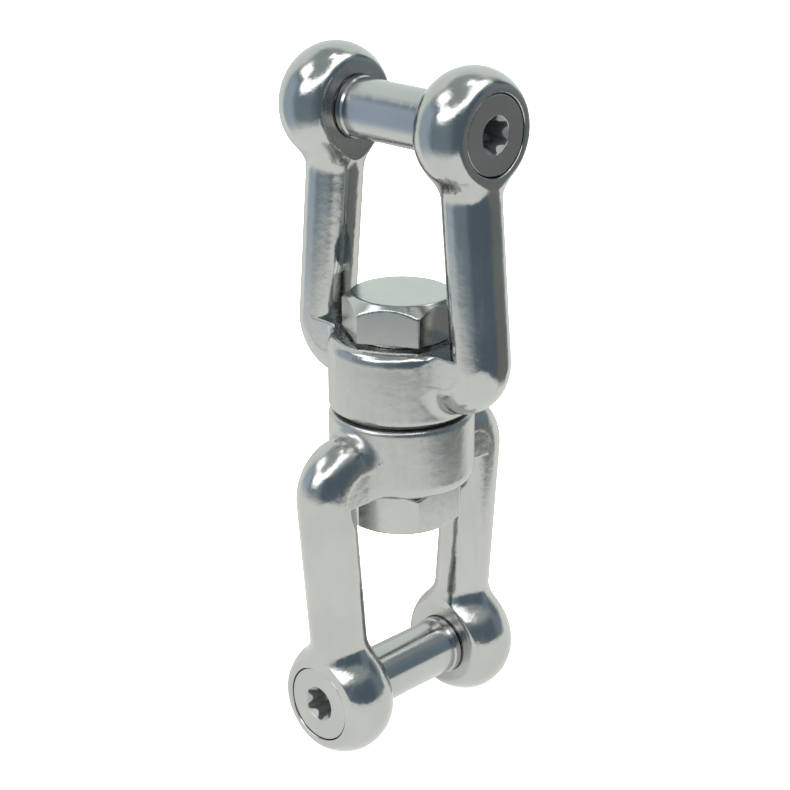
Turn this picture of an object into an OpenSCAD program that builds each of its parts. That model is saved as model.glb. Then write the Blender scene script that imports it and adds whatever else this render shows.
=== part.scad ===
// Fork-and-fork swivel: two forks a quarter turn apart, spinning on one hexagon bolt,
// each closed by a flush clevis pin. Origin midway between the two collars, on the bolt's axis.

/* [Pins] */
// Diameter of each clevis pin's shank
pin_d = 10; // [9:0.1:10]
// Distance between the two pins' axes
pin_spacing = 99; // [97:0.5:104]
// Diameter of each pin's flush head
head_d = 13; // [12.4:0.1:14]
// Diameter over the lobes of the six-lobed socket in each head
socket_d = 6.1; // [5.5:0.1:6.8]

/* [Forks] */
// Clear gap between the two eyes of a fork
jaw_gap = 20.2; // [19:0.1:21]
// Width of a fork over the outsides of its eyes
jaw_w = 41.2; // [40:0.1:43]
// Outside diameter of an eye
eye_d = 20.2; // [19.6:0.1:21]
// Radius of the ball-like edge of an eye
eye_edge_r = 7.2; // [6.6:0.1:7.8]
// Diameter of each leg
leg_d = 9.9; // [9.4:0.1:10.4]
// Distance of a leg's axis from the bolt's axis, level with the pin
leg_top_x = 14.8; // [14.6:0.1:15.4]
// Distance of a leg's axis from the bolt's axis, where the bend starts
leg_bend_x = 17.9; // [17.2:0.1:18.4]

/* [Swivel] */
// Outside diameter of each collar
collar_d = 24.8; // [24:0.1:26]
// Height of each collar's bolt seat above the middle of the part
seat_h = 12.8; // [12:0.1:13]
// Gap between the two collars
collar_gap = 0.7; // [0.6:0.1:1]
// Diameter of the swivel bolt's shank
bolt_d = 12; // [10:0.5:12]
// Size across the flats of the bolt's head and the nut
hex_af = 18; // [17:0.5:18]
// Height of the bolt's head, with its washer face
head_h = 7.3; // [7:0.1:8]
// Height of the nut
nut_h = 7.5; // [6:0.1:8]

/* [Hidden] */
$fn = 64;

// running clearance on a radius, and the gap left between parts that only face each other
run = 0.05;
face_gap = 0.05;
pin_h = pin_spacing / 2;
eye_r = eye_d / 2;
eye_in = jaw_gap / 2;
eye_out = jaw_w / 2;
eye_mid = (eye_in + eye_out) / 2;
leg_r = leg_d / 2;
collar_r = collar_d / 2;
collar_base = collar_gap / 2;
seat_edge = 1.2;
base_edge = 0.8;

// the leg's axis: down to the bend, round it, and level into the collar
bend_h = 12.3;
stub_h = 6.9;
bend_mid_x = leg_bend_x - 1.3;
bend_mid_h = (bend_h + stub_h) / 2 - 1.1;
stub_x = 9;
// the web fills the corner between the collar and a leg, up to the bolt's seat
web_w = leg_d - 0.5;

// clevis pin: the shank fills the gap, a register fits the head's eye, and the thread is a plain
// cylinder halfway down its flanks
head_sink = 0.15;
head_rim = 1.7;
register_r = pin_d / 2 + 0.2;
thread_r = pin_d / 2 - 0.2;
head_cone = head_d / 2 - register_r;
head_face = eye_out - head_sink;
socket_depth = 5;
notch_r = 1.2;
notch_depth = 0.85;
tip_chamfer = 1;
pin_tip = -eye_out + 0.4;

// bolt and nut
head_chamfer = 2;
head_top_r = hex_af / 2 - 0.75;
nut_chamfer = 1;
nut_face_r = hex_af / 2 - 0.3;
washer_face_h = 0.6;
washer_face_d = hex_af - 1.2;
nut_seat = -seat_h - face_gap;
bolt_end = nut_seat - nut_h - 0.4;
bolt_bore_r = bolt_d / 2 + 2 * run;

// thrust washer between the collars
washer_t = collar_gap - 2 * face_gap;
washer_d = 22.4;

// a round bar between two points of the fork's plane, given as [x, z]
module bar(from, to, r) {
    run_v = to - from;
    translate([from[0], 0, from[1]])
        rotate([0, atan2(run_v[0], run_v[1]), 0])
            cylinder(r = r, h = norm(run_v));
}

module ball(at, r) {
    translate([at[0], 0, at[1]])
        sphere(r = r);
}

// half of the collar's section, turned about the bolt's axis
module collar_section() {
    translate([0, collar_base + base_edge])
        square([collar_r, seat_h - seat_edge - collar_base - base_edge]);
    translate([0, collar_base])
        square([collar_r - base_edge, base_edge + 0.1]);
    translate([0, seat_h - seat_edge - 0.1])
        square([collar_r - seat_edge, seat_edge + 0.1]);
    translate([collar_r - base_edge, collar_base + base_edge])
        circle(r = base_edge);
    translate([collar_r - seat_edge, seat_h - seat_edge])
        circle(r = seat_edge);
}

// one leg on +X, with its bend and the stub that runs into the collar
module leg() {
    bend_start = [leg_bend_x, bend_h];
    bend_mid = [bend_mid_x, bend_mid_h];
    bar([leg_top_x, pin_h - 3], bend_start, leg_r);
    ball(bend_start, leg_r + 0.03);
    bar(bend_start, bend_mid, leg_r - 0.02);
    ball(bend_mid, leg_r + 0.05);
    bar(bend_mid, [stub_x, stub_h], leg_r - 0.04);
}

module web() {
    translate([stub_x, -web_w / 2, stub_h])
        cube([bend_mid_x - stub_x, web_w, seat_h - stub_h]);
}

// the eye on +X: a ball-edged ring with two flat faces
module eye() {
    translate([eye_mid, 0, pin_h])
        rotate([0, 90, 0])
            rotate_extrude()
                intersection() {
                    union() {
                        translate([eye_r - eye_edge_r, 0])
                            circle(r = eye_edge_r);
                        translate([0, -eye_edge_r])
                            square([eye_r - eye_edge_r, 2 * eye_edge_r]);
                    }
                    translate([0, eye_in - eye_mid])
                        square([eye_r, eye_out - eye_in]);
                }
}

// a cylinder along the pin's axis from one x to another
module on_pin_axis(x_from, x_to, r) {
    translate([x_from, 0, pin_h])
        rotate([0, 90, 0])
            cylinder(r = r, h = x_to - x_from);
}

// a whole fork with the head of its pin on +X
module jaw() {
    difference() {
        union() {
            rotate_extrude()
                collar_section();
            for (side = [0, 1])
                mirror([side, 0, 0]) {
                    leg();
                    web();
                    eye();
                }
        }
        cylinder(r = bolt_bore_r, h = 4 * seat_h, center = true);
        // the slot between the eyes is cut to the gap's width
        translate([-eye_in, -eye_r, pin_h - eye_r])
            cube([jaw_gap, eye_d, 2 * eye_d]);
        on_pin_axis(-eye_out - 1, 0, thread_r + run);
        on_pin_axis(0, eye_out + 1, register_r + run);
        // seat of the flush head
        on_pin_axis(head_face - head_rim, eye_out + 1, head_d / 2 + 2 * run);
        translate([head_face - head_rim - head_cone - 2 * run, 0, pin_h])
            rotate([0, 90, 0])
                cylinder(r1 = register_r, r2 = head_d / 2 + 2 * run, h = head_cone + 2 * run);
    }
}

// a socket's outline: a disc with six round notches in its edge
module socket_outline() {
    difference() {
        circle(d = socket_d);
        for (i = [0 : 5])
            rotate([0, 0, 60 * i + 30])
                translate([socket_d / 2 + notch_r - notch_depth, 0])
                    circle(r = notch_r);
    }
}

// a clevis pin in the upper fork's place, with its head on +X
module clevis_pin() {
    difference() {
        union() {
            on_pin_axis(head_face - head_rim, head_face, head_d / 2);
            translate([head_face - head_rim - head_cone, 0, pin_h])
                rotate([0, 90, 0])
                    cylinder(r1 = register_r, r2 = head_d / 2, h = head_cone);
            on_pin_axis(eye_in, head_face - head_rim, register_r);
            on_pin_axis(-eye_in, eye_in + 1, pin_d / 2);
            on_pin_axis(pin_tip + tip_chamfer, 0, thread_r);
            translate([pin_tip, 0, pin_h])
                rotate([0, 90, 0])
                    cylinder(r1 = thread_r - tip_chamfer, r2 = thread_r, h = tip_chamfer);
        }
        translate([head_face - socket_depth, 0, pin_h])
            rotate([0, 90, 0])
                linear_extrude(height = socket_depth + 1)
                    socket_outline();
    }
}

// a hexagon standing on z = 0, with corners on +Y and -Y, chamfered at the top and, if asked, below
module hex_block(h, face_r, chamfer, both_ends) {
    corner_r = hex_af / 2 / cos(30);
    intersection() {
        rotate([0, 0, 30])
            cylinder(r = corner_r, h = h, $fn = 6);
        union() {
            translate([0, 0, h - chamfer])
                cylinder(r1 = corner_r + 0.1, r2 = face_r, h = chamfer);
            translate([0, 0, both_ends ? chamfer : 0])
                cylinder(r = corner_r + 0.1, h = h - (both_ends ? 2 : 1) * chamfer);
            if (both_ends)
                cylinder(r1 = face_r, r2 = corner_r + 0.1, h = chamfer);
        }
    }
}

module upper_jaw() {
    color("silver")
        jaw();
}

module lower_jaw() {
    color("silver")
        rotate([0, 0, -90])
            rotate([180, 0, 0])
                jaw();
}

module swivel_bolt() {
    color("lightsteelblue") {
        translate([0, 0, seat_h + face_gap + washer_face_h])
            hex_block(head_h - washer_face_h, head_top_r, head_chamfer, false);
        translate([0, 0, seat_h + face_gap])
            cylinder(d = washer_face_d, h = washer_face_h);
        translate([0, 0, bolt_end])
            cylinder(d = bolt_d, h = seat_h + 1 - bolt_end);
    }
}

module swivel_nut() {
    color("lightsteelblue")
        difference() {
            translate([0, 0, nut_seat - nut_h])
                hex_block(nut_h, nut_face_r, nut_chamfer, true);
            translate([0, 0, nut_seat - nut_h - 1])
                cylinder(r = bolt_d / 2 + run, h = nut_h + 2);
        }
}

module thrust_washer() {
    color("gray")
        translate([0, 0, -washer_t / 2])
            difference() {
                cylinder(d = washer_d, h = washer_t);
                translate([0, 0, -1])
                    cylinder(r = bolt_bore_r, h = washer_t + 2);
            }
}

module upper_pin() {
    color("gainsboro")
        clevis_pin();
}

module lower_pin() {
    color("gainsboro")
        rotate([0, 0, -90])
            rotate([180, 0, 0])
                clevis_pin();
}

upper_jaw();
lower_jaw();
swivel_bolt();
swivel_nut();
thrust_washer();
upper_pin();
lower_pin();
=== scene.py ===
"""Looks of a fork-and-fork swivel: two forged stainless forks a quarter turn apart on one hexagon
bolt, each closed by a flush clevis pin.

Each piece is a distance function, negative inside the metal, and surface() turns it into a mesh
that keeps creases sharp. Shapes are in millimetres, and meshes in metres. A fork's own directions
are u from leg to leg, along its pin, v square to that, and w up from the middle of the part."""

import math
from collections import namedtuple

import bpy
import numpy as np
from mathutils import Matrix, Vector


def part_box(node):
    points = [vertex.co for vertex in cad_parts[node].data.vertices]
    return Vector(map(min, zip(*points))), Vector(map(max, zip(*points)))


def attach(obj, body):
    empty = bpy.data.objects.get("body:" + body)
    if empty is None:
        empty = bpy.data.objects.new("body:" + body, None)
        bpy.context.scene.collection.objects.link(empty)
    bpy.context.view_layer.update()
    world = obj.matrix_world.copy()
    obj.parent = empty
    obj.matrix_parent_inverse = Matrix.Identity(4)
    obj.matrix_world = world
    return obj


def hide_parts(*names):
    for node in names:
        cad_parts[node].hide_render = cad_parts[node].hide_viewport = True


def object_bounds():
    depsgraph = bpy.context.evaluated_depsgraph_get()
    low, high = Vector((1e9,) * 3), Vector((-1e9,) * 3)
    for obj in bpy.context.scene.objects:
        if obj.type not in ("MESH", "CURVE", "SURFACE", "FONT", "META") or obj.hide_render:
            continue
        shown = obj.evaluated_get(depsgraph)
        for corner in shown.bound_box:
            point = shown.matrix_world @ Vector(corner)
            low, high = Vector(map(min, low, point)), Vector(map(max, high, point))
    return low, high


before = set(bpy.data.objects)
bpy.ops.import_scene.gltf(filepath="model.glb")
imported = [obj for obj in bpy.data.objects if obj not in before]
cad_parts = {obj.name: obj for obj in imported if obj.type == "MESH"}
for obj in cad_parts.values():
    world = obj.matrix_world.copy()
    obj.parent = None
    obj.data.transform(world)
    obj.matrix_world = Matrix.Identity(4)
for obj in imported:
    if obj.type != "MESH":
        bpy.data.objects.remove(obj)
cad_box = [list(corner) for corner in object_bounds()]

MM = 0.001
MICRON = 0.000001
X, Y, Z = 0, 1, 2
COARSE = 1.0


def cad_span(node, axis):
    """Lowest and highest coordinate of a CAD node along an axis, in millimetres."""
    low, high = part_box(node)
    return low[axis] / MM, high[axis] / MM


# ---- sizes, taken from the frame where the frame has them ----

PIN_H = sum(cad_span("upper_pin", Z)) / 2
PIN_TIP, HEAD_FACE = cad_span("upper_pin", X)
HEAD_R = cad_span("upper_pin", Y)[1]
HEAD_RIM = 1.7
HEAD_EDGE = 0.4
HEAD_SINK = 0.15
HEAD_PLAY = 0.1
REGISTER_R = 5.2
REGISTER_PLAY = 0.05
PIN_R = 5.0
TIP_CHAMFER = 1.0
# the socket in a pin's head
SOCKET_R = 3.05
SOCKET_DEPTH = 5.0
SOCKET_FLOOR_R = SOCKET_R - 0.6
NOTCH_R = 1.2
NOTCH_DEPTH = 0.75
LOBE_EDGE = 0.35
# the low shoulder at the shank's end, and the neck between it and the thread, measured from the eye
SHOULDER_R = 5.2
SHOULDER_GAP = 0.3
SHOULDER_LENGTH = 1.4
SHOULDER_SLOPE = 26
NECK_DEPTH = 0.95
NECK_MIDDLE = 0.4
NECK_HALF = 0.85
NECK_END = 1.2

EYE_R = cad_span("upper_jaw", Z)[1] - PIN_H
EYE_IN = 10.1
EYE_OUT = HEAD_FACE + HEAD_SINK
EYE_MID = (EYE_IN + EYE_OUT) / 2
EYE_EDGE_R = 7.2
EYE_RIM = 0.5
EYE_BLEND = 2.3
LEAD_IN = 0.1

# how far a leg stays inside the CAD model's box, and the web inside the leg
INSET = 0.03
LEG_R = 4.9
LEG_LEAN = math.radians(5.2)
BEND_R = 4.8
STUB_H = 7.1
BEND_U = cad_span("upper_jaw", X)[1] - LEG_R - BEND_R - INSET
BEND_W = STUB_H + BEND_R

COLLAR_R = cad_span("upper_jaw", Y)[1]
COLLAR_BASE = cad_span("upper_jaw", Z)[0]
BASE_EDGE = 1.0
ROOT_BLEND = 1.8
# the collar's edge at the seat, and the sharper edge of the ledge beside a leg. The one turns into
# the other from so far out, over so much
SEAT_EDGE = 2.2
LEDGE_EDGE = 0.3
LEDGE_FROM, LEDGE_OVER = 9.5, 3.5

BOLT_END, HEAD_TOP = cad_span("swivel_bolt", Z)
NUT_LOW, NUT_HIGH = cad_span("swivel_nut", Z)
FACE_GAP = 0.05
SEAT_H = -NUT_HIGH - FACE_GAP
BOLT_R = 6.0
BOLT_BORE_R = 6.1
BOLT_CHAMFER = 1.1
CENTRE_HOLE_R = 1.4
NUT_BORE_R = 6.6
WASHER_FACE_H = 0.6
WASHER_FACE_R = 8.4
HEX_AF = 2 * cad_span("swivel_bolt", X)[1]
HEX_EDGE = 0.35
HEAD_TOP_R, HEAD_SLOPE = 8.25, 48
NUT_FACE_R, NUT_SLOPE = 8.7, 60
CHAMFER_EDGE = 0.2
WASHER_LOW, WASHER_HIGH = cad_span("thrust_washer", Z)
WASHER_R = cad_span("thrust_washer", X)[1]

# edges and the slope of a drill's point that several pieces share
BORE_EDGE = 0.3
RIM_EDGE = 0.15
FINE_EDGE = 0.1
DRILL_SLOPE = 30
# how far shapes that are joined reach into each other
LAP = 1.0
OVERLAP = 0.01

PIN_PITCH = 1.5
BOLT_PITCH = 1.75
CREST_R = PIN_R - 0.05
THREAD_PLAY = 0.04
# a thread's profile over half a pitch: the crest's flat ends and the root's flat starts at these
# shares of it, and between them the flank falls by this share of a pitch for each half pitch
CREST_FLAT, ROOT_FLAT = 0.12, 0.85
FLANK_FALL = 0.62

# a lower piece is its upper twin turned over and a quarter turn round the bolt
UPPER = Matrix.Identity(4)
LOWER = Matrix.Rotation(math.radians(-90), 4, "Z") @ Matrix.Rotation(math.pi, 4, "X")


# ---- distance functions ----


def smooth_min(a, b, blend):
    """The nearer of two distances, with a fillet about as wide as blend."""
    share = np.clip(0.5 + 0.5 * (b - a) / blend, 0, 1)
    return b + (a - b) * share - blend * share * (1 - share)


def smooth_max(a, b, blend):
    """What two shapes have in common, with its edge rounded about as wide as blend."""
    return -smooth_min(-a, -b, blend)


def without(body, hole, edge=0.12):
    """A body with a hole cut out of it, and the hole's rim broken."""
    return smooth_max(body, -hole, edge)


def puck(rho, along, radius, low, high, edge):
    """A round disc or rod with rounded edges."""
    out = rho - (radius - edge)
    up = np.abs(along - (low + high) / 2) - ((high - low) / 2 - edge)
    outside = np.hypot(np.maximum(out, 0), np.maximum(up, 0))
    return outside + np.minimum(np.maximum(out, up), 0) - edge


def cone(rho, along, radius, at, slope=45):
    """A cone that has a radius at one place and narrows as along grows, by slope degrees."""
    angle = math.radians(slope)
    return (rho - radius) * math.cos(angle) + (along - at) * math.sin(angle)


def hexagon(across, beside, flats, edge):
    """An endless hexagonal bar with two flats facing along the first direction."""
    across, beside = np.abs(across), np.abs(beside)
    slanted = across * math.cos(math.pi / 3) + beside * math.sin(math.pi / 3)
    return smooth_max(across, slanted, edge) - flats / 2


def six_lobes(rho, angle):
    """An endless bar with six round lobes: a rod with six round notches along it."""
    sixth = math.pi / 3
    turn = np.abs((angle % sixth) - sixth / 2)
    out, beside = rho * np.cos(turn), rho * np.sin(turn)
    notch = np.hypot(out - (SOCKET_R + NOTCH_R - NOTCH_DEPTH), beside) - NOTCH_R
    return smooth_max(rho - SOCKET_R, -notch, LOBE_EDGE)


def thread(rho, angle, along, crest_r, pitch):
    """A threaded rod: one ridge that climbs a pitch for each turn, cut flat at crest and root."""
    climb = np.abs((along / pitch - angle / (2 * math.pi)) % 1 - 0.5) * 2
    depth = FLANK_FALL * pitch
    flank = np.clip(climb, CREST_FLAT, ROOT_FLAT) - CREST_FLAT
    steep = 1 / math.hypot(1, 2 * depth / pitch)
    return (rho - crest_r + depth * flank) * steep


def to_leg_axis(side, w):
    """Distance from a leg's axis in the fork's plane: straight leg, round bend, level stub."""
    out, up = side - BEND_U, w - BEND_W
    sin, cos = math.sin(LEG_LEAN), math.cos(LEG_LEAN)
    leg_length = (PIN_H - BEND_W) / cos
    along_leg = up * cos - out * sin
    beyond_leg = along_leg - np.clip(along_leg, 0, leg_length)
    leg = np.hypot(out * cos + up * sin - BEND_R, beyond_leg)
    stub = np.hypot(out - np.clip(out, -BEND_U, 0), up + BEND_R)
    bend = np.abs(np.hypot(out, up) - BEND_R)
    turn = np.arctan2(up, out)
    in_bend = (turn > -math.pi / 2) & (turn < LEG_LEAN)
    straight = np.minimum(leg, stub)
    return np.where(in_bend, np.minimum(bend, straight), straight)


def web(side, v, w):
    """What fills the corner inside a leg's bend, about as wide as the leg."""
    out, up = side - BEND_U, w - BEND_W
    inside_bend = np.hypot(np.maximum(out, 0), np.minimum(up, 0)) - BEND_R
    return np.maximum(inside_bend, np.abs(v) - LEG_R + INSET)


def eye(side, v, w):
    """A ball-edged ring with two flat faces."""
    rho = np.hypot(v, w - PIN_H)
    ball = np.hypot(np.maximum(rho - (EYE_R - EYE_EDGE_R), 0), side - EYE_MID) - EYE_EDGE_R
    faces = np.abs(side - EYE_MID) - (EYE_OUT - EYE_IN) / 2
    return smooth_max(ball, faces, EYE_RIM)


def pin_hole(u, v, w):
    """What the pin's two eyes lose to it: the head's seat and register, and the tapped hole."""
    rho, angle = np.hypot(v, w - PIN_H), np.arctan2(v, w - PIN_H)
    seat = HEAD_FACE - HEAD_RIM - HEAD_PLAY
    head = np.maximum(rho - HEAD_R - HEAD_PLAY, seat - u)
    slope = cone(rho, -u, HEAD_R + HEAD_PLAY, -seat)
    slope = np.maximum(slope, np.maximum(EYE_MID - u, u - seat - OVERLAP))
    register = np.maximum(rho - REGISTER_R - REGISTER_PLAY, -u)
    lead_in = cone(rho, -u, PIN_R + LEAD_IN, EYE_IN)
    tapped = thread(rho, angle, u, CREST_R + THREAD_PLAY, PIN_PITCH)
    threaded = np.maximum(np.minimum(tapped, np.maximum(lead_in, -u - EYE_MID)), u)
    return np.minimum(np.minimum(head, slope), np.minimum(register, threaded))


def fork(u, v, w):
    """A fork: a collar round the bolt, and two legs that end in eyes."""
    side, rho = np.abs(u), np.hypot(u, v)
    leg = np.hypot(to_leg_axis(side, w), v) - LEG_R
    # the root is cut flat, level with the bolt's seat, which leaves a ledge beside the leg
    root = smooth_min(rho - COLLAR_R, np.minimum(leg, web(side, v, w)), ROOT_BLEND)
    beside = np.clip((side - LEDGE_FROM) / LEDGE_OVER, 0, 1)
    rim = SEAT_EDGE + (LEDGE_EDGE - SEAT_EDGE) * beside**2 * (3 - 2 * beside)
    root = smooth_max(root, w - SEAT_H, rim)
    root = np.minimum(smooth_max(root, COLLAR_BASE - w, BASE_EDGE), leg)
    arm = smooth_min(leg, eye(side, v, w), EYE_BLEND)
    gap = np.minimum(EYE_IN - side, w - (PIN_H - EYE_R))
    body = np.minimum(root, np.maximum(arm, gap))
    body = without(body, rho - BOLT_BORE_R, BORE_EDGE)
    return without(body, pin_hole(u, v, w), BORE_EDGE)


def clevis_pin(u, v, w):
    """A pin with a flush head, a six-lobed socket in it, and a threaded end behind a low shoulder."""
    rho, angle = np.hypot(v, w - PIN_H), np.arctan2(v, w - PIN_H)
    head = smooth_max(rho - HEAD_R, u - HEAD_FACE, HEAD_EDGE)
    head = np.maximum(head, cone(rho, -u, HEAD_R, HEAD_RIM - HEAD_FACE))
    register = np.maximum(np.maximum(rho - REGISTER_R, EYE_IN - u), u - HEAD_FACE + HEAD_RIM)
    shoulder_at = SHOULDER_GAP - EYE_IN
    shank = np.maximum(rho - PIN_R, np.maximum(shoulder_at - u, u - EYE_MID))
    shoulder = np.maximum(rho - SHOULDER_R, shoulder_at - u)
    slope = cone(rho, u, PIN_R, SHOULDER_LENGTH + shoulder_at, SHOULDER_SLOPE)
    shank = np.minimum(shank, np.maximum(shoulder, slope))
    neck = np.maximum(rho - PIN_R + NECK_DEPTH, np.abs(u + EYE_IN + NECK_MIDDLE) - NECK_HALF)
    screw = thread(rho, angle, u, CREST_R, PIN_PITCH)
    screw = np.maximum(screw, cone(rho, -u, PIN_R - TIP_CHAMFER, -PIN_TIP))
    screw = np.maximum(screw, np.maximum(u + EYE_IN + NECK_END, PIN_TIP - u))
    body = np.minimum(np.minimum(head, register), np.minimum(shank, np.minimum(neck, screw)))
    bottom = cone(rho, -u, SOCKET_FLOOR_R, SOCKET_DEPTH - HEAD_FACE, DRILL_SLOPE)
    socket = smooth_max(six_lobes(rho, angle), bottom, FINE_EDGE)
    mouth = cone(rho, -u, SOCKET_R + LEAD_IN, -HEAD_FACE)
    return without(without(body, socket, RIM_EDGE), mouth, FINE_EDGE)


def hex_top(x, y, z, top, face_r, slope):
    """A hexagonal bar chamfered to a round top face."""
    rho = np.hypot(x, y)
    bar = smooth_max(hexagon(x, y, HEX_AF, HEX_EDGE), z - top, RIM_EDGE)
    return smooth_max(bar, cone(rho, z, face_r, top, slope), CHAMFER_EDGE)


def swivel_bolt(x, y, z):
    """A hexagon bolt, threaded under the nut."""
    rho, angle = np.hypot(x, y), np.arctan2(y, x)
    under_head = SEAT_H + FACE_GAP + WASHER_FACE_H
    head = np.maximum(hex_top(x, y, z, HEAD_TOP, HEAD_TOP_R, HEAD_SLOPE), under_head - z)
    face = puck(rho, z, WASHER_FACE_R, SEAT_H + FACE_GAP, under_head + LAP, RIM_EDGE)
    thread_top = NUT_HIGH + LAP
    shank = np.maximum(rho - BOLT_R, np.maximum(thread_top - z, z - SEAT_H - LAP))
    screw = thread(rho, angle, z, BOLT_R, BOLT_PITCH)
    screw = np.maximum(screw, cone(rho, -z, BOLT_R - BOLT_CHAMFER, -BOLT_END))
    screw = np.maximum(screw, np.maximum(z - thread_top, BOLT_END - z))
    centre_hole = cone(rho, z, CENTRE_HOLE_R, BOLT_END, DRILL_SLOPE)
    return without(np.minimum(np.minimum(head, face), np.minimum(shank, screw)), centre_hole)


def swivel_nut(x, y, z):
    """A hexagon nut chamfered at both faces. Its bore is plain, and clears the bolt's thread."""
    upper = hex_top(x, y, z, NUT_HIGH, NUT_FACE_R, NUT_SLOPE)
    lower = hex_top(x, y, -z, -NUT_LOW, NUT_FACE_R, NUT_SLOPE)
    return without(np.maximum(upper, lower), np.hypot(x, y) - NUT_BORE_R)


def thrust_washer(x, y, z):
    """A thin flat washer."""
    rho = np.hypot(x, y)
    disc = puck(rho, z, WASHER_R, WASHER_LOW, WASHER_HIGH, RIM_EDGE)
    return without(disc, rho - BOLT_BORE_R)


# ---- mesh from a distance function ----

# how often a grid edge is halved to find the surface on it
HALVINGS = 12
# how many times a smooth point is moved onto the surface
REFITS = 2
# how strongly a cell's point is held to the middle of its crossings
HOLD = 0.03
# a cell is smooth where the slopes at its crossings agree better than this
SMOOTH_ABOVE = 0.985
# grid steps around the piece's box, not whole, so that no flat face lies on the grid
LOW_MARGIN, HIGH_MARGIN = 1.37, 1.5
# how far into its face a corner on a crease moves to take its normal
INWARD = 0.4


def slope_at(distance, points, reach=0.01):
    """Unit direction in which the distance grows fastest at each point."""
    steps = np.eye(3) * reach
    rise = [distance(*(points + s).T) - distance(*(points - s).T) for s in steps]
    rise = np.stack(rise, 1)
    return rise / np.maximum(np.linalg.norm(rise, axis=1), 1e-12)[:, None]


def crossings(distance, field, corner, step, axis):
    """Grid edges along an axis that pass through the surface: their lower ends, the points where
    they meet it, and whether each one starts inside."""
    inside = np.moveaxis(field < 0, axis, 0)
    nodes = np.argwhere(inside[:-1] != inside[1:])
    starts_inside = inside[:-1][tuple(nodes.T)]
    order = np.insert(np.delete(np.arange(3), axis), 0, axis)
    nodes = nodes[:, np.argsort(order)]
    low, high = np.zeros(len(nodes)), np.ones(len(nodes))
    for _ in range(HALVINGS):
        middle = (low + high) / 2
        points = corner + nodes * step
        points[:, axis] += middle * step
        before = (distance(*points.T) < 0) == starts_inside
        low, high = np.where(before, middle, low), np.where(before, high, middle)
    return nodes, points, starts_inside


def place_in_cells(cells, points, slopes, count, low_corners, step):
    """The point of each cell nearest to all the planes that cross its edges, so that it lies on
    any crease or corner in the cell, and how well the slopes there agree, up to 1."""
    number = np.bincount(cells, minlength=count)
    centre = np.stack([np.bincount(cells, points[:, i], count) for i in range(3)], 1) / number[:, None]
    offset = ((points - centre[cells]) * slopes).sum(1)
    matrix = np.zeros((count, 3, 3))
    target = np.zeros((count, 3))
    for i in range(3):
        target[:, i] = np.bincount(cells, slopes[:, i] * offset, count)
        for j in range(3):
            matrix[:, i, j] = np.bincount(cells, slopes[:, i] * slopes[:, j], count)
    matrix += np.eye(3) * HOLD
    placed = centre + np.linalg.solve(matrix, target[..., None])[..., 0]
    placed = np.clip(placed, low_corners, low_corners + step)
    mean_slope = np.stack([np.bincount(cells, slopes[:, i], count) for i in range(3)], 1)
    return placed, np.linalg.norm(mean_slope, axis=1) / number


def surface(name, distance, low, high, step):
    """A mesh of quads over the zero surface of a distance function, inside a box."""
    corner = np.array(low, float) - LOW_MARGIN * step
    sizes = np.ceil((np.array(high) - corner) / step + HIGH_MARGIN).astype(int)
    u, v, w = (corner[i] + step * np.arange(sizes[i]) for i in range(3))
    layers = [distance(layer, v[:, None], w[None, :]) for layer in u]
    field = np.stack([np.broadcast_to(layer, (len(v), len(w))) for layer in layers])
    edges = [crossings(distance, field, corner, step, axis) for axis in range(3)]
    ids, turned = [], []
    for axis, (nodes, _, starts_inside) in enumerate(edges):
        first, second = np.eye(3, dtype=int)[(axis + 1) % 3], np.eye(3, dtype=int)[(axis + 2) % 3]
        around = [nodes - first - second, nodes - second, nodes, nodes - first]
        ids.append(np.stack([np.ravel_multi_index(tuple(c.T), field.shape) for c in around], 1))
        turned.append(~starts_inside)
    ids, turned = np.concatenate(ids), np.concatenate(turned)
    points = np.concatenate([edge[1] for edge in edges])
    slopes = slope_at(distance, points)
    cells, quads = np.unique(ids, return_inverse=True)
    quads = quads.reshape(ids.shape)
    low_corners = corner + np.stack(np.unravel_index(cells, field.shape), 1) * step
    placed, evenness = place_in_cells(
        quads.ravel(), np.repeat(points, 4, 0), np.repeat(slopes, 4, 0), len(cells), low_corners, step
    )
    smooth = evenness > SMOOTH_ABOVE
    for _ in range(REFITS):
        fix = slope_at(distance, placed) * distance(*placed.T)[:, None]
        placed -= np.where(smooth[:, None], fix, 0)
    quads = np.where(turned[:, None], quads[:, ::-1], quads)
    return mesh_with_normals(name, distance, placed, quads, smooth)


def mesh_with_normals(name, distance, points, quads, smooth):
    """The mesh in metres, shaded from the distance function, with creases left sharp."""
    normals = slope_at(distance, points)[quads]
    at_crease = ~smooth[quads]
    corners = points[quads]
    inward = corners + INWARD * (corners.mean(1, keepdims=True) - corners)
    normals[at_crease] = slope_at(distance, inward[at_crease])
    mesh = bpy.data.meshes.new(name)
    mesh.from_pydata(points * MM, [], quads)
    mesh.polygons.foreach_set("use_smooth", np.ones(len(quads), bool))
    mesh.normals_split_custom_set(normals.reshape(-1, 3))
    return mesh


# ---- materials ----

# cells of each noise in a metre
CLOUD, FINE, LINES, WAVES, DENTS = 90, 900, 2600, 160, 550
# how dark the tint is in its darker patches, and the most that fine wear adds to the roughness
DARKER = 0.93
WEAR = 0.09

# a rougher zone: a rod along X or Z that lies height above the middle and ends at top. Its edge is
# soft by so much to each side, and rougher is what it adds to the roughness
Zone = namedtuple("Zone", "axis height radius soft top rougher")


def add(tree, kind, **inputs):
    """A node with some of its inputs set, each to a number or to another node's output."""
    node = tree.nodes.new(kind)
    for key, value in inputs.items():
        socket = node.inputs[key.replace("_", " ")]
        if isinstance(value, bpy.types.NodeSocket):
            tree.links.new(value, socket)
        else:
            socket.default_value = value
    return node


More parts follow.
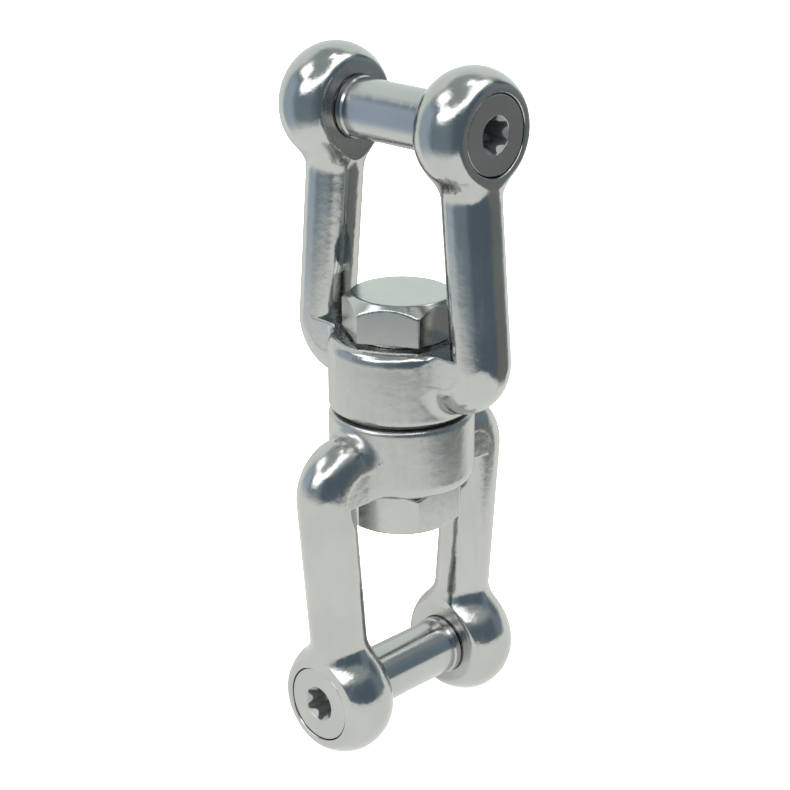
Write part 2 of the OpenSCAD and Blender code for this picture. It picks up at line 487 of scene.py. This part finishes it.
def math_node(tree, operation, first, second=0.0):
    """One sum, as an output."""
    node = tree.nodes.new("ShaderNodeMath")
    node.operation = operation
    for socket, value in zip(node.inputs, (first, second)):
        if isinstance(value, bpy.types.NodeSocket):
            tree.links.new(value, socket)
        else:
            socket.default_value = value
    return node.outputs[0]


def vector_math(tree, operation, first, second=(0, 0, 0)):
    """One vector sum, as a node."""
    node = tree.nodes.new("ShaderNodeVectorMath")
    node.operation = operation
    tree.links.new(first, node.inputs[0])
    node.inputs[1].default_value = second
    return node


def spread(tree, value, from_low, from_high, to_low, to_high):
    """A value moved smoothly from one range to another."""
    node = add(tree, "ShaderNodeMapRange", Value=value, From_Min=from_low, From_Max=from_high)
    node.inputs["To Min"].default_value, node.inputs["To Max"].default_value = to_low, to_high
    node.interpolation_type = "SMOOTHSTEP"
    return node.outputs["Result"]


def noise(tree, place, scale, detail, stretch=(1, 1, 1)):
    """A noise over the piece's own coordinates, stretched along some of them."""
    mapping = add(tree, "ShaderNodeMapping", Vector=place, Scale=stretch)
    texture = add(tree, "ShaderNodeTexNoise", Vector=mapping.outputs["Vector"], Scale=scale, Detail=detail)
    return texture.outputs["Fac"]


def bump(tree, height, depth, below=None):
    """A bump of a real depth in metres, laid over another one."""
    node = add(tree, "ShaderNodeBump", Height=height, Strength=1.0, Distance=depth)
    if below is not None:
        tree.links.new(below, node.inputs["Normal"])
    return node.outputs["Normal"]


def in_zone(tree, place, zone):
    """1 inside a zone and 0 outside it."""
    shifted = add(tree, "ShaderNodeMapping", Vector=place, Location=(0, 0, -zone.height * MM))
    shifted.inputs["Scale"].default_value = (0, 1, 1) if zone.axis == X else (1, 1, 0)
    out = vector_math(tree, "LENGTH", shifted.outputs["Vector"]).outputs["Value"]
    radius, soft, top = zone.radius * MM, zone.soft * MM, zone.top * MM
    near = spread(tree, out, radius - soft, radius + soft, 1, 0)
    along = add(tree, "ShaderNodeSeparateXYZ", Vector=place).outputs["XYZ"[zone.axis]]
    below = spread(tree, along, top - soft, top + soft, 1, 0)
    return math_node(tree, "MULTIPLY", near, below)


def steel(name, tint, haze, waves, dents, scratches, grain=(1, 1, 1), dull=()):
    """Stainless steel. haze is the range of its roughness. waves and dents are the depths in microns
    of the large and small unevenness, and scratches that of the polishing lines, which run along
    the axes where grain is below 1. dull lists the zones that are rougher."""
    material = bpy.data.materials.new(name)
    material.use_nodes = True
    tree = material.node_tree
    shader = tree.nodes["Principled BSDF"]
    shader.inputs["Metallic"].default_value = 1.0
    place = tree.nodes.new("ShaderNodeTexCoord").outputs["Object"]
    cloud = noise(tree, place, CLOUD, 3)
    colour = add(tree, "ShaderNodeMix")
    colour.data_type = "RGBA"
    tree.links.new(spread(tree, cloud, 0.35, 0.65, 0, 1), colour.inputs["Factor"])
    colour.inputs["A"].default_value = (*(channel * DARKER for channel in tint), 1)
    colour.inputs["B"].default_value = (*tint, 1)
    tree.links.new(colour.outputs["Result"], shader.inputs["Base Color"])
    patchy = spread(tree, cloud, 0.3, 0.7, *haze)
    worn = spread(tree, noise(tree, place, FINE, 4, grain), 0.4, 0.75, 0, WEAR)
    roughness = math_node(tree, "ADD", patchy, worn)
    for zone in dull:
        added = math_node(tree, "MULTIPLY", in_zone(tree, place, zone), zone.rougher)
        roughness = math_node(tree, "ADD", roughness, added)
    tree.links.new(roughness, shader.inputs["Roughness"])
    uneven = bump(tree, noise(tree, place, WAVES, 1), waves * MICRON)
    dented = bump(tree, noise(tree, place, DENTS, 2), dents * MICRON, uneven)
    scratched = bump(tree, noise(tree, place, LINES, 2, grain), scratches * MICRON, dented)
    tree.links.new(scratched, shader.inputs["Normal"])
    return material


# ---- pieces ----

# grid steps of the meshes
FORK_STEP, PIN_STEP, BOLT_STEP, WASHER_STEP = 0.3, 0.2, 0.21, 0.17


def piece(name, mesh, material, body, node, turn=UPPER):
    """A shown piece in place of a CAD node, riding on its body."""
    made = bpy.data.objects.new(name, mesh)
    bpy.context.scene.collection.objects.link(made)
    if not mesh.materials:
        mesh.materials.append(material)
    made.matrix_world = turn
    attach(made, body)
    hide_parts(node)


def make_forks():
    """Both forks: bright legs and eyes, and satin collars, seats and eye faces."""
    satin = 0.13
    collar = Zone(Z, 0, radius=COLLAR_R + 1.2, soft=1.2, top=SEAT_H - SEAT_EDGE, rougher=satin)
    seat = Zone(Z, 0, radius=COLLAR_R - 1.6, soft=0.3, top=SEAT_H + 0.4, rougher=satin)
    faces = Zone(X, PIN_H, radius=7.5, soft=0.3, top=EYE_IN + 0.5, rougher=0.15)
    look = steel(
        "forged_steel", (0.51, 0.515, 0.5), haze=(0.1, 0.17), waves=40, dents=50, scratches=6,
        grain=(1, 1, 0.12), dull=(collar, seat, faces),
    )
    high = (cad_span("upper_jaw", X)[1], COLLAR_R, PIN_H + EYE_R)
    low = (-high[0], -high[1], COLLAR_BASE)
    mesh = surface("fork", fork, low, high, FORK_STEP * COARSE)
    piece("fork_upper", mesh, look, "upper_fork", "upper_jaw")
    piece("fork_lower", mesh, look, "lower_fork", "lower_jaw", LOWER)


def make_pins():
    """Both clevis pins, turned and polished, with a dull socket."""
    socket = Zone(X, PIN_H, radius=SOCKET_R + 0.1, soft=0.1, top=HEAD_FACE - 0.1, rougher=0.4)
    look = steel(
        "turned_steel", (0.5, 0.51, 0.505), haze=(0.12, 0.18), waves=10, dents=3, scratches=4,
        grain=(1, 0.2, 0.2), dull=(socket,),
    )
    low, high = (PIN_TIP, -HEAD_R, PIN_H - HEAD_R), (HEAD_FACE, HEAD_R, PIN_H + HEAD_R)
    mesh = surface("clevis_pin", clevis_pin, low, high, PIN_STEP * COARSE)
    piece("clevis_pin_upper", mesh, look, "upper_clevis_pin", "upper_pin")
    piece("clevis_pin_lower", mesh, look, "lower_clevis_pin", "lower_pin", LOWER)


def make_swivel():
    """The bolt, its nut, and the washer between the collars, tinted dark as painted shade in the gap."""
    bolt_look = steel(
        "bolt_steel", (0.52, 0.53, 0.51), haze=(0.14, 0.2), waves=10, dents=3, scratches=3
    )
    # the washer's near-black tint is painted shade: it darkens the gap between the two collars
    washer_shade_look = steel(
        "washer_steel", (0.16, 0.16, 0.16), haze=(0.4, 0.5), waves=5, dents=5, scratches=3
    )
    corner = HEX_AF / 2 / math.cos(math.pi / 6)
    low, high = (-corner, -corner, BOLT_END), (corner, corner, HEAD_TOP)
    bolt = surface("bolt", swivel_bolt, low, high, BOLT_STEP * COARSE)
    piece("hexagon_bolt", bolt, bolt_look, "swivel_pin", "swivel_bolt")
    low, high = (-corner, -corner, NUT_LOW), (corner, corner, NUT_HIGH)
    nut = surface("nut", swivel_nut, low, high, BOLT_STEP * COARSE)
    piece("hexagon_nut", nut, bolt_look, "swivel_pin", "swivel_nut")
    low, high = (-WASHER_R, -WASHER_R, WASHER_LOW), (WASHER_R, WASHER_R, WASHER_HIGH)
    washer = surface("washer", thrust_washer, low, high, WASHER_STEP * COARSE)
    piece("flat_washer", washer, washer_shade_look, "swivel_pin", "thrust_washer")


# ---- studio ----

# the camera sees a floor and a white backdrop, and the steel reflects a table and a room instead
GROUND = cad_box[0][2]
FLOOR_HALF, FLOOR_GAP = 1.5, 0.0002
LAMP_POWER, LAMP_SIZE, LAMP_HEIGHT = 40, 1.2, 1.0

# the reflected table's rim, in degrees round the object and in millimetres
RIM_AZIMUTH = (0, 30, 60, 85, 180, 200, 270, 300, 320, 340, 360)
RIM_DISTANCE = (150, 100, 110, 250, 250, 115, 115, 145, 205, 200, 150)
RIM_HEIGHT = (-50, -45, -44, 60, 60, 12, 10, -12, -30, -45, -50)
# its brightness, dimmer at the back, and the share of the way to the rim where it starts to fade
GLOW_AZIMUTH, GLOW = (90, 115, 155, 185), (1.04, 0.66, 0.66, 1.04)
FADE_FROM = 0.8
TABLE_AROUND, TABLE_RINGS = 120, 24

# a patch of the reflected room, in degrees: where its middle is, how far it reaches to each side,
# its lowest and highest elevation, how soft its edges are, its colour, and how much higher it is
# towards another azimuth
Patch = namedtuple(
    "Patch", "azimuth half_width side_soft low high soft colour lift lift_at", defaults=(0, 0)
)
TENT = (0.42, 0.47, 0.48)
BELOW = -95
WARM_LIGHT = (3.1, 3.05, 2.9)
PATCHES = (
    # the pale wall behind the object, the dark room at the camera's side, and its darkest part
    Patch(145, 55, 12, BELOW, 55, 6, (0.92, 0.99, 0.95)),
    Patch(322, 118, 12, BELOW, 38, 6, (0.24, 0.31, 0.36)),
    Patch(345, 52, 12, BELOW, 38, 6, (0.13, 0.175, 0.22)),
    # a dark gap above the table, a grey one below its rim, and a bluish wall on the left
    Patch(75, 15, 8, 20, 45, 6, (0.14, 0.17, 0.19)),
    Patch(45, 25, 10, -60, -5, 6, (0.235, 0.24, 0.235)),
    Patch(218, 18, 10, BELOW, 30, 8, (0.5, 0.6, 0.72)),
    # the long lamp over the dark room, which climbs to the right, and four smaller ones
    Patch(347, 92, 8, 34, 50, 5, (3.0, 3.02, 3.0), lift=27, lift_at=25),
    Patch(262, 14, 6, 22, 44, 5, (3.0, 3.0, 3.0)),
    Patch(232, 20, 8, 42, 62, 5, (3.0, 3.0, 3.0)),
    Patch(45, 30, 8, 58, 78, 5, WARM_LIGHT),
    Patch(85, 25, 8, 73, 86, 4, WARM_LIGHT),
)


def plain_mesh(name, points, faces, material):
    """A staged object that isn't part of the swivel."""
    mesh = bpy.data.meshes.new(name)
    mesh.from_pydata(points, [], faces)
    mesh.materials.append(material)
    made = bpy.data.objects.new(name, mesh)
    bpy.context.scene.collection.objects.link(made)
    return made


def make_floor():
    """A plain pale floor just under the object. The steel reflects the table instead."""
    material = bpy.data.materials.new("pale_floor")
    material.use_nodes = True
    shader = material.node_tree.nodes["Principled BSDF"]
    shader.inputs["Base Color"].default_value = (0.94, 0.945, 0.93, 1)
    shader.inputs["Roughness"].default_value = 0.8
    shader.inputs["Specular IOR Level"].default_value = 0.1
    # a faint glow keeps the shadow on it pale
    shader.inputs["Emission Color"].default_value = (1, 1, 1, 1)
    shader.inputs["Emission Strength"].default_value = 0.75
    square = ((-1, -1), (1, -1), (1, 1), (-1, 1))
    corners = [(x * FLOOR_HALF, y * FLOOR_HALF, GROUND - FLOOR_GAP) for x, y in square]
    floor = plain_mesh("floor", corners, [(0, 1, 2, 3)], material)
    floor.visible_glossy = False


def table_material():
    """A pale glow that fades out towards the rim."""
    material = bpy.data.materials.new("pale_table")
    material.use_nodes = True
    tree = material.node_tree
    tree.nodes.clear()
    reach, bright = (tree.nodes.new("ShaderNodeAttribute") for _ in range(2))
    reach.attribute_name, bright.attribute_name = "reach", "glow"
    strength = bright.outputs["Fac"]
    glow = add(tree, "ShaderNodeEmission", Color=(1.0, 1.02, 0.97, 1), Strength=strength)
    clear = tree.nodes.new("ShaderNodeBsdfTransparent")
    mix = tree.nodes.new("ShaderNodeMixShader")
    tree.links.new(spread(tree, reach.outputs["Fac"], FADE_FROM, 1, 0, 1), mix.inputs[0])
    tree.links.new(glow.outputs[0], mix.inputs[1])
    tree.links.new(clear.outputs[0], mix.inputs[2])
    output = tree.nodes.new("ShaderNodeOutputMaterial")
    tree.links.new(mix.outputs[0], output.inputs["Surface"])
    return material


def make_table():
    """The pale table that the steel reflects. It rises like a bowl towards a rim that is nearer on
    some sides than on others."""
    ground = (GROUND - FLOOR_GAP / 2) / MM
    points, reach, glows = [], [], []
    for ring in range(TABLE_RINGS + 1):
        part = ring / TABLE_RINGS
        for step in range(TABLE_AROUND):
            azimuth = 360 * step / TABLE_AROUND
            rim = np.interp(azimuth, RIM_AZIMUTH, RIM_HEIGHT)
            out = part * np.interp(azimuth, RIM_AZIMUTH, RIM_DISTANCE) * MM
            x, y = out * math.cos(math.radians(azimuth)), out * math.sin(math.radians(azimuth))
            points.append((x, y, (ground + (rim - ground) * part**4) * MM))
            reach.append(part)
            glows.append(np.interp(azimuth, GLOW_AZIMUTH, GLOW))
    faces = []
    for ring in range(TABLE_RINGS):
        for step in range(TABLE_AROUND):
            a = ring * TABLE_AROUND + step
            b = ring * TABLE_AROUND + (step + 1) % TABLE_AROUND
            faces.append((a, b, b + TABLE_AROUND, a + TABLE_AROUND))
    table = plain_mesh("table", points, faces, table_material())
    for name, values in (("reach", reach), ("glow", glows)):
        table.data.attributes.new(name, "FLOAT", "POINT").data.foreach_set("value", values)
    for ray in ("camera", "diffuse", "transmission", "volume_scatter", "shadow"):
        setattr(table, "visible_" + ray, False)


def make_lamp():
    """A wide soft lamp overhead, for the floor."""
    data = bpy.data.lights.new("lamp", "AREA")
    data.shape, data.size, data.energy = "DISK", LAMP_SIZE, LAMP_POWER
    lamp = bpy.data.objects.new("lamp", data)
    bpy.context.scene.collection.objects.link(lamp)
    lamp.location = (0, 0, LAMP_HEIGHT)
    lamp.visible_glossy = False


def patch_factor(tree, flat, height, patch):
    """How far a direction lies inside a patch, from 0 to 1."""

    def facing(azimuth):
        """Cosine of the angle between the direction and an azimuth, seen from above."""
        towards = (math.cos(math.radians(azimuth)), math.sin(math.radians(azimuth)), 0)
        return vector_math(tree, "DOT_PRODUCT", flat, towards).outputs["Value"]

    def rises(value, at, soft):
        return spread(tree, value, math.radians(at - soft), math.radians(at + soft), 0, 1)

    away = math_node(tree, "ARCCOSINE", math_node(tree, "MINIMUM", facing(patch.azimuth), 1.0))
    beside = math_node(tree, "SUBTRACT", 1.0, rises(away, patch.half_width, patch.side_soft))
    up = height
    if patch.lift:
        climb = math_node(tree, "MULTIPLY", facing(patch.lift_at), math.radians(patch.lift))
        up = math_node(tree, "SUBTRACT", height, climb)
    above = rises(up, patch.low, patch.soft)
    below = math_node(tree, "SUBTRACT", 1.0, rises(up, patch.high, patch.soft))
    return math_node(tree, "MULTIPLY", beside, math_node(tree, "MULTIPLY", above, below))


def make_studio():
    """The room that the steel reflects above the table, in front of a white backdrop for the
    camera."""
    world = bpy.data.worlds.new("studio")
    bpy.context.scene.world = world
    world.use_nodes = True
    tree = world.node_tree
    tree.nodes.clear()
    direction = tree.nodes.new("ShaderNodeTexCoord").outputs["Generated"]
    parts = add(tree, "ShaderNodeSeparateXYZ", Vector=direction)
    height = math_node(tree, "ARCSINE", parts.outputs["Z"])
    level = vector_math(tree, "MULTIPLY", direction, (1, 1, 0))
    flat = vector_math(tree, "NORMALIZE", level.outputs[0]).outputs[0]
    room = tree.nodes.new("ShaderNodeRGB").outputs[0]
    room.default_value = (*TENT, 1)
    for patch in PATCHES:
        mix = tree.nodes.new("ShaderNodeMix")
        mix.data_type = "RGBA"
        tree.links.new(patch_factor(tree, flat, height, patch), mix.inputs["Factor"])
        tree.links.new(room, mix.inputs["A"])
        mix.inputs["B"].default_value = (*patch.colour, 1)
        room = mix.outputs["Result"]
    background = add(tree, "ShaderNodeBackground", Color=room, Strength=1.0)
    backdrop = add(tree, "ShaderNodeBackground", Color=(1, 1, 1, 1), Strength=1.0)
    rays = tree.nodes.new("ShaderNodeLightPath")
    choose = tree.nodes.new("ShaderNodeMixShader")
    tree.links.new(rays.outputs["Is Camera Ray"], choose.inputs[0])
    tree.links.new(background.outputs[0], choose.inputs[1])
    tree.links.new(backdrop.outputs[0], choose.inputs[2])
    output = tree.nodes.new("ShaderNodeOutputWorld")
    tree.links.new(choose.outputs[0], output.inputs["Surface"])


def make_camera():
    """A camera above and to the right of the front, looking down at the middle of the object."""
    azimuth, elevation, roll = (math.radians(angle) for angle in (44.76, 20.90, -0.21))
    distance, aside, above = 321.31 * MM, -1.11 * MM, 1.515 * MM
    level = math.cos(elevation)
    back = Vector((math.sin(azimuth) * level, -math.cos(azimuth) * level, math.sin(elevation)))
    right = Vector((math.cos(azimuth), math.sin(azimuth), 0))
    up = back.cross(right)
    data = bpy.data.cameras.new("camera")
    data.sensor_width = 36.0
    data.lens = 86.494
    data.clip_start, data.clip_end = 0.01, 20
    camera = bpy.data.objects.new("camera", data)
    bpy.context.scene.collection.objects.link(camera)
    rolled_right = right * math.cos(roll) + up * math.sin(roll)
    rolled_up = up * math.cos(roll) - right * math.sin(roll)
    facing = Matrix((rolled_right, rolled_up, back)).transposed().to_4x4()
    place = Matrix.Translation(back * distance + right * aside + up * above)
    camera.matrix_world = place @ facing
    bpy.context.scene.camera = camera


make_camera()
make_floor()
make_table()
make_lamp()
make_studio()
make_forks()
make_pins()
make_swivel()
bpy.context.scene.view_settings.view_transform = "Standard"
